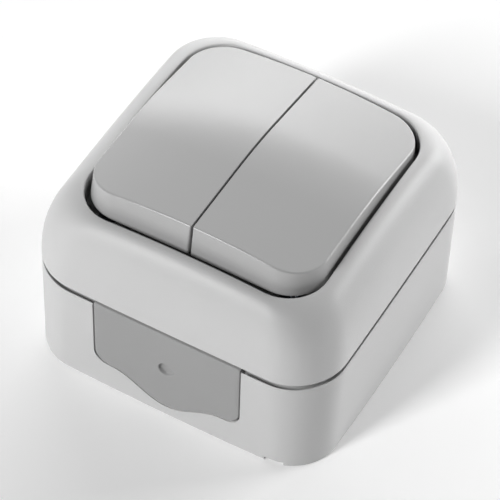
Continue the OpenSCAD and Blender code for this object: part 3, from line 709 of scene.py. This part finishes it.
for side, name in ((-1, "left"), (1, "right")):
    rocker = make_object(f"rocker_{name}_cap", at_rest(rocker_surface(), side))
    solid_modifier(rocker, at_rest(clip_legs(), side), "UNION")
    crisp(rocker, 40)
    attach(rocker, f"{name}_rocker")
    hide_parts(f"rocker_{name}")
    print(f"{name} rocker:", len(rocker.data.polygons), "faces")

# %% [markdown]
# ## The cable entry plates
#
# A plate fills its bay and follows the wall's bow, so it can't be cut from a flat sheet. Its rings
# spread from the round drilling mark to the outline, each point along its own line, and each ring
# is laid on the wall at its depth. The mark is a shallow round hollow with a soft rim. A flange
# behind the plate slides down between the rails.

# %% Plate mesh
MARK_Z = 17.4
MARK_R = 1.95
MARK_DEPTH = 0.9
PLATE_EDGE = 0.3
PLATE_DOWN = 0.7  # how far the plate's top lies under the joint


def plate_surface():
    """Closed skin of the lower plate as (points, quads, fans), from the mark round to the back."""
    top = JOINT_Z - PLATE_DOWN
    rim = entry_loop(0, top)
    edge = entry_loop(-PLATE_EDGE, top - PLATE_EDGE)
    mark = np.array([0, MARK_Z])
    ray = edge - mark
    reach = np.linalg.norm(ray, axis=1, keepdims=True)
    ray = ray / reach
    rows = []
    hollow = profile([
        (0.1, MARK_DEPTH, 0),
        (MARK_R - 0.15, MARK_DEPTH, 0.35),
        (MARK_R + 0.05, 0, 0.3),
        (MARK_R + 0.9, 0, 0),
    ], spacing=0.5)
    for r, depth in hollow:
        rows.append((mark + ray * r, depth))
    start = mark + ray * hollow[-1, 0]
    for share in np.linspace(0, 1, 16)[1:]:
        rows.append((start + (edge - start) * share, 0))
    for a in np.radians([30, 60, 90]):
        rows.append((edge + (rim - edge) * math.sin(a), PLATE_EDGE * (1 - math.cos(a))))
    front = [
        np.column_stack([p[:, 0], -(wall_depth(p[:, 0], p[:, 1]) - depth), p[:, 1]]) for p, depth in rows
    ]
    back_y = -WALL_IN + 0.3
    back = [
        np.column_stack([p[:, 0], np.full(len(p), back_y), p[:, 1]])
        for p in (rim, *(mark + (rim - mark) * s for s in (0.7, 0.4, 0.1)))
    ]
    return skin(np.stack(front + back))


flange_y = -WALL_IN + 0.05
flange = block(
    (-FLANGE_HALF, flange_y, FLANGE_LOW),
    (FLANGE_HALF, flange_y + FLANGE_T, JOINT_Z - 2.2),
    0.3,
)
for name, place in (("lower", lambda s: s), ("upper", turned)):
    plate = make_object(f"entry_plate_{name}", place(plate_surface()))
    solid_modifier(plate, place(flange), "UNION")
    crisp(plate, 35)
    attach(plate, "box")
    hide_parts(f"cable_entry_plate_{name}")
    print(f"{name} plate:", len(plate.data.polygons), "faces")

# %% [markdown]
# ## Finishes
#
# The outside is moulded plastic with a fine spark-eroded grain, which breaks up the gloss. Two
# noises give it: a fine one for the grain and a slow one for the faint unevenness of a moulding.
# The effect is one node group, and each plastic gets its own values.

# %% Moulded grain as a node group
def new_group(name, inputs, outputs):
    """An empty shader node group with float inputs {name: default} and outputs {name: socket type}."""
    group = bpy.data.node_groups.new(name, "ShaderNodeTree")
    for title, default in inputs.items():
        socket = group.interface.new_socket(title, in_out="INPUT", socket_type="NodeSocketFloat")
        socket.default_value = default
    for title, kind in outputs.items():
        group.interface.new_socket(title, in_out="OUTPUT", socket_type=kind)
    return group, group.nodes.new("NodeGroupInput"), group.nodes.new("NodeGroupOutput")


def node_at(tree, kind, place, **values):
    """A node of that kind at a place, with its settings and unlinked inputs set by name."""
    node = tree.nodes.new(kind)
    node.location = (place[0] * 200, place[1] * 200)
    for title, value in values.items():
        if hasattr(node, title):
            setattr(node, title, value)
        else:
            node.inputs[title.replace("_", " ").title()].default_value = value
    return node


def moulded_grain_group():
    """Height of the grain, and roughness that wanders a little about its middle value."""
    tree, given, out = new_group(
        "moulded_grain",
        {"Grain Scale": 2600.0, "Roughness": 0.45, "Roughness Spread": 0.06, "Unevenness": 0.15},
        {"Roughness": "NodeSocketFloat", "Height": "NodeSocketFloat", "Mottle": "NodeSocketFloat"},
    )
    place = node_at(tree, "ShaderNodeTexCoord", (-4, 0))
    grain = node_at(tree, "ShaderNodeTexNoise", (-2, 1), detail=3.0, roughness=0.6)
    slow = node_at(tree, "ShaderNodeTexNoise", (-2, -1), scale=55.0, detail=2.0)
    spread = node_at(tree, "ShaderNodeMath", (0, -1), operation="MULTIPLY_ADD")
    centred = node_at(tree, "ShaderNodeMath", (-1, -1), operation="SUBTRACT")
    centred.inputs[1].default_value = 0.5
    height = node_at(tree, "ShaderNodeMath", (0, 1), operation="MULTIPLY_ADD")
    join = tree.links.new
    join(place.outputs["Object"], grain.inputs["Vector"])
    join(place.outputs["Object"], slow.inputs["Vector"])
    join(given.outputs["Grain Scale"], grain.inputs["Scale"])
    join(slow.outputs["Fac"], centred.inputs[0])
    join(centred.outputs[0], spread.inputs[0])
    join(given.outputs["Roughness Spread"], spread.inputs[1])
    join(given.outputs["Roughness"], spread.inputs[2])
    join(slow.outputs["Fac"], height.inputs[0])
    join(given.outputs["Unevenness"], height.inputs[1])
    join(grain.outputs["Fac"], height.inputs[2])
    join(spread.outputs[0], out.inputs["Roughness"])
    join(height.outputs[0], out.inputs["Height"])
    join(slow.outputs["Fac"], out.inputs["Mottle"])
    return tree


GRAIN = moulded_grain_group()
print("grain group:", len(GRAIN.nodes), "nodes")

# %% [markdown]
# A plastic is a Principled shader with the grain group in front of it. Its colour mixes two near
# greys by the slow noise, and the grain's height bumps the surface by a few hundredths of a
# millimetre.

# %% Plastics
def linear(grey):
    """Scene-linear value of a screen grey from 0 to 255, by the standard transfer curve."""
    c = grey / 255
    return c / 12.92 if c <= 0.04045 else ((c + 0.055) / 1.055) ** 2.4


def shade(colour):
    """A linear colour from screen values: one number for a grey, or three for a colour."""
    red, green, blue = np.broadcast_to(colour, 3)
    return linear(red), linear(green), linear(blue), 1.0


def plastic(name, colour, darker, roughness, grain_scale=2600.0, bump=0.02, spread=0.06):
    """A moulded plastic whose colour wanders between two near shades."""
    finish = bpy.data.materials.new(name)
    finish.use_nodes = True
    tree = finish.node_tree
    shader = tree.nodes["Principled BSDF"]
    grain = node_at(tree, "ShaderNodeGroup", (-4, 0))
    grain.node_tree = GRAIN
    grain.inputs["Grain Scale"].default_value = grain_scale
    grain.inputs["Roughness"].default_value = roughness
    grain.inputs["Roughness Spread"].default_value = spread
    tint = node_at(tree, "ShaderNodeMix", (-2, 1), data_type="RGBA")
    tint.inputs["A"].default_value = shade(darker)
    tint.inputs["B"].default_value = shade(colour)
    bumped = node_at(tree, "ShaderNodeBump", (-2, -1), distance=bump * MM)
    bumped.inputs["Strength"].default_value = 1.0
    tree.links.new(grain.outputs["Mottle"], tint.inputs["Factor"])
    tree.links.new(tint.outputs["Result"], shader.inputs["Base Color"])
    tree.links.new(grain.outputs["Roughness"], shader.inputs["Roughness"])
    tree.links.new(grain.outputs["Height"], bumped.inputs["Height"])
    tree.links.new(bumped.outputs["Normal"], shader.inputs["Normal"])
    return finish


finishes = {
    "base_plastic": plastic("base_plastic", 201, 196, 0.5),
    "cover_plastic": plastic("cover_plastic", 202, 197, 0.46),
    "rocker_plastic": plastic("rocker_plastic", 179, 178, 0.25, 3400.0, 0.008, 0.01),
    "entry_plastic": plastic("entry_plastic", 157, 151, 0.6),
    "seal_rubber": plastic("seal_rubber", 40, 33, 0.8, 1400.0, 0.04),
    "insulator_plastic": plastic("insulator_plastic", (226, 222, 210), (218, 214, 202), 0.5, 2000.0, 0.02),
}

# %% [markdown]
# The metals inside carry the current or hold things together. Brass and silver are rolled and
# stamped, so their gloss is drawn out in one direction. Screws and springs are plated steel.

# %% Metals
def metal(name, colour, darker, roughness, stretch=(1, 1, 1), scale=900.0, bump=0.01):
    """A metal whose colour and roughness follow a noise, stretched along the rolling direction."""
    finish = bpy.data.materials.new(name)
    finish.use_nodes = True
    tree = finish.node_tree
    shader = tree.nodes["Principled BSDF"]
    shader.inputs["Metallic"].default_value = 1.0
    place = node_at(tree, "ShaderNodeTexCoord", (-6, 0))
    drawn = node_at(tree, "ShaderNodeMapping", (-5, 0))
    drawn.inputs["Scale"].default_value = stretch
    streaks = node_at(tree, "ShaderNodeTexNoise", (-4, 0), scale=scale, detail=4.0)
    tint = node_at(tree, "ShaderNodeMix", (-2, 1), data_type="RGBA")
    tint.inputs["A"].default_value = shade(darker)
    tint.inputs["B"].default_value = shade(colour)
    gloss = node_at(tree, "ShaderNodeMapRange", (-2, 0))
    gloss.inputs["To Min"].default_value = roughness - 0.08
    gloss.inputs["To Max"].default_value = roughness + 0.08
    bumped = node_at(tree, "ShaderNodeBump", (-2, -1), distance=bump * MM)
    tree.links.new(place.outputs["Object"], drawn.inputs["Vector"])
    tree.links.new(drawn.outputs["Vector"], streaks.inputs["Vector"])
    tree.links.new(streaks.outputs["Fac"], tint.inputs["Factor"])
    tree.links.new(streaks.outputs["Fac"], gloss.inputs["Value"])
    tree.links.new(streaks.outputs["Fac"], bumped.inputs["Height"])
    tree.links.new(tint.outputs["Result"], shader.inputs["Base Color"])
    tree.links.new(gloss.outputs["Result"], shader.inputs["Roughness"])
    tree.links.new(bumped.outputs["Normal"], shader.inputs["Normal"])
    return finish


finishes |= {
    "contact_brass": metal("contact_brass", (214, 186, 118), (190, 158, 92), 0.35, (1, 0.1, 1)),
    "contact_silver": metal("contact_silver", (236, 236, 232), (216, 216, 214), 0.25),
    "zinc_steel": metal("zinc_steel", (196, 199, 204), (172, 176, 184), 0.38),
    "spring_steel": metal("spring_steel", (160, 160, 162), (130, 130, 134), 0.3, (1, 1, 0.2)),
}

# %% [markdown]
# The new pieces take the finish of their slot, and the solid model's own pieces have theirs
# exchanged for the better one.

# %% Give every piece its finish
for piece in [o for o in bpy.context.scene.objects if o.type == "MESH"]:
    if piece.data.materials:
        for slot in piece.material_slots:
            slot.material = finishes[slot.material.name.split(".")[0]]
new_pieces = {
    "base_shell": "base_plastic",
    "cover_shell": "cover_plastic",
    "rocker_left_cap": "rocker_plastic",
    "rocker_right_cap": "rocker_plastic",
    "entry_plate_lower": "entry_plastic",
    "entry_plate_upper": "entry_plastic",
}
for name, finish in new_pieces.items():
    bpy.data.objects[name].data.materials.append(finishes[finish])
print("finishes:", ", ".join(sorted(finishes)))

# %% [markdown]
# ## Floor and light
#
# The switch lies on its back on a wide pale floor. Five soft lights do the work. Two behind it, one
# low and one higher, give the bright far halves of the rockers and the far border. One in front is
# high, and draws the fine bright line along the rockers' near edge. One at the front left fills the
# near side, and one behind on the right lights the far right side. The floor glows faintly, as a
# sheet of paper lit through does, which keeps the shadows light.

# %% Floor
floor = make_object("floor", block((-3000, -3000, -60), (3000, 3000, -0.02), 50))
floor_finish = bpy.data.materials.new("floor_paper")
floor_finish.use_nodes = True
paper = floor_finish.node_tree.nodes["Principled BSDF"]
paper.inputs["Base Color"].default_value = (0.9, 0.9, 0.9, 1)
paper.inputs["Roughness"].default_value = 0.9
paper.inputs["Emission Color"].default_value = (1, 1, 1, 1)
paper.inputs["Emission Strength"].default_value = 0.12
floor.data.materials.append(floor_finish)

world = bpy.data.worlds.new("studio")
bpy.context.scene.world = world
world.use_nodes = True
world.node_tree.nodes["Background"].inputs["Color"].default_value = (1, 1, 1, 1)
world.node_tree.nodes["Background"].inputs["Strength"].default_value = 0.01


# %% Lights
def soft_light(name, place, aim, size, radiance):
    """A rectangular light at place, facing aim, whose surface has that radiance."""
    lamp = bpy.data.lights.new(name, "AREA")
    lamp.shape = "RECTANGLE"
    lamp.size, lamp.size_y = size
    lamp.energy = radiance * size[0] * size[1] * math.pi
    light = bpy.data.objects.new(name, lamp)
    bpy.context.scene.collection.objects.link(light)
    place = Vector(place)
    light.matrix_world = (
        Matrix.Translation(place) @ (Vector(aim) - place).to_track_quat("-Z", "Y").to_matrix().to_4x4()
    )
    return light


MIDDLE = (0, 0, 0.03)
soft_light("back_low", (-0.35, 1.2, 0.22), MIDDLE, (2.2, 0.4), 4.1)
soft_light("back_high", (-0.36, 1.0, 0.62), MIDDLE, (1.3, 0.27), 6.6)
soft_light("front_high", (-0.4, -1.0, 0.78), MIDDLE, (0.26, 0.46), 31.0)
soft_light("left_front", (-1.05, -0.75, 0.3), MIDDLE, (0.8, 0.5), 2.5)
soft_light("right_back", (0.85, 1.0, 0.4), MIDDLE, (0.6, 0.5), 15.0)

# %% [markdown]
# ## Camera
#
# The camera looks down on the near right corner from far off, through a long lens. Its place comes
# from an azimuth, an elevation, a small roll and a distance, and its aim from an offset across the
# line of sight.

# %% Camera
AZIMUTH, ELEVATION, ROLL = (math.radians(v) for v in (27.886, 49.801, 2.281))
DISTANCE = 677.857 * MM
OFFSET = (0.373 * MM, 13.036 * MM)
away = Vector((
    math.sin(AZIMUTH) * math.cos(ELEVATION),
    -math.cos(AZIMUTH) * math.cos(ELEVATION),
    math.sin(ELEVATION),
))
level_right = Vector((math.cos(AZIMUTH), math.sin(AZIMUTH), 0))
level_up = away.cross(level_right)
right = math.cos(ROLL) * level_right + math.sin(ROLL) * level_up
up = -math.sin(ROLL) * level_right + math.cos(ROLL) * level_up
lens = bpy.data.cameras.new("camera")
lens.lens = 198.03
lens.sensor_width = 36
lens.clip_end = 20
camera = bpy.data.objects.new("camera", lens)
bpy.context.scene.collection.objects.link(camera)
rotation = Matrix((right, up, away)).transposed().to_4x4()
camera.matrix_world = Matrix.Translation(OFFSET[0] * right + OFFSET[1] * up + DISTANCE * away) @ rotation
bpy.context.scene.camera = camera
bpy.context.scene.view_settings.view_transform = "Standard"
print("camera at", [round(v, 3) for v in camera.location])
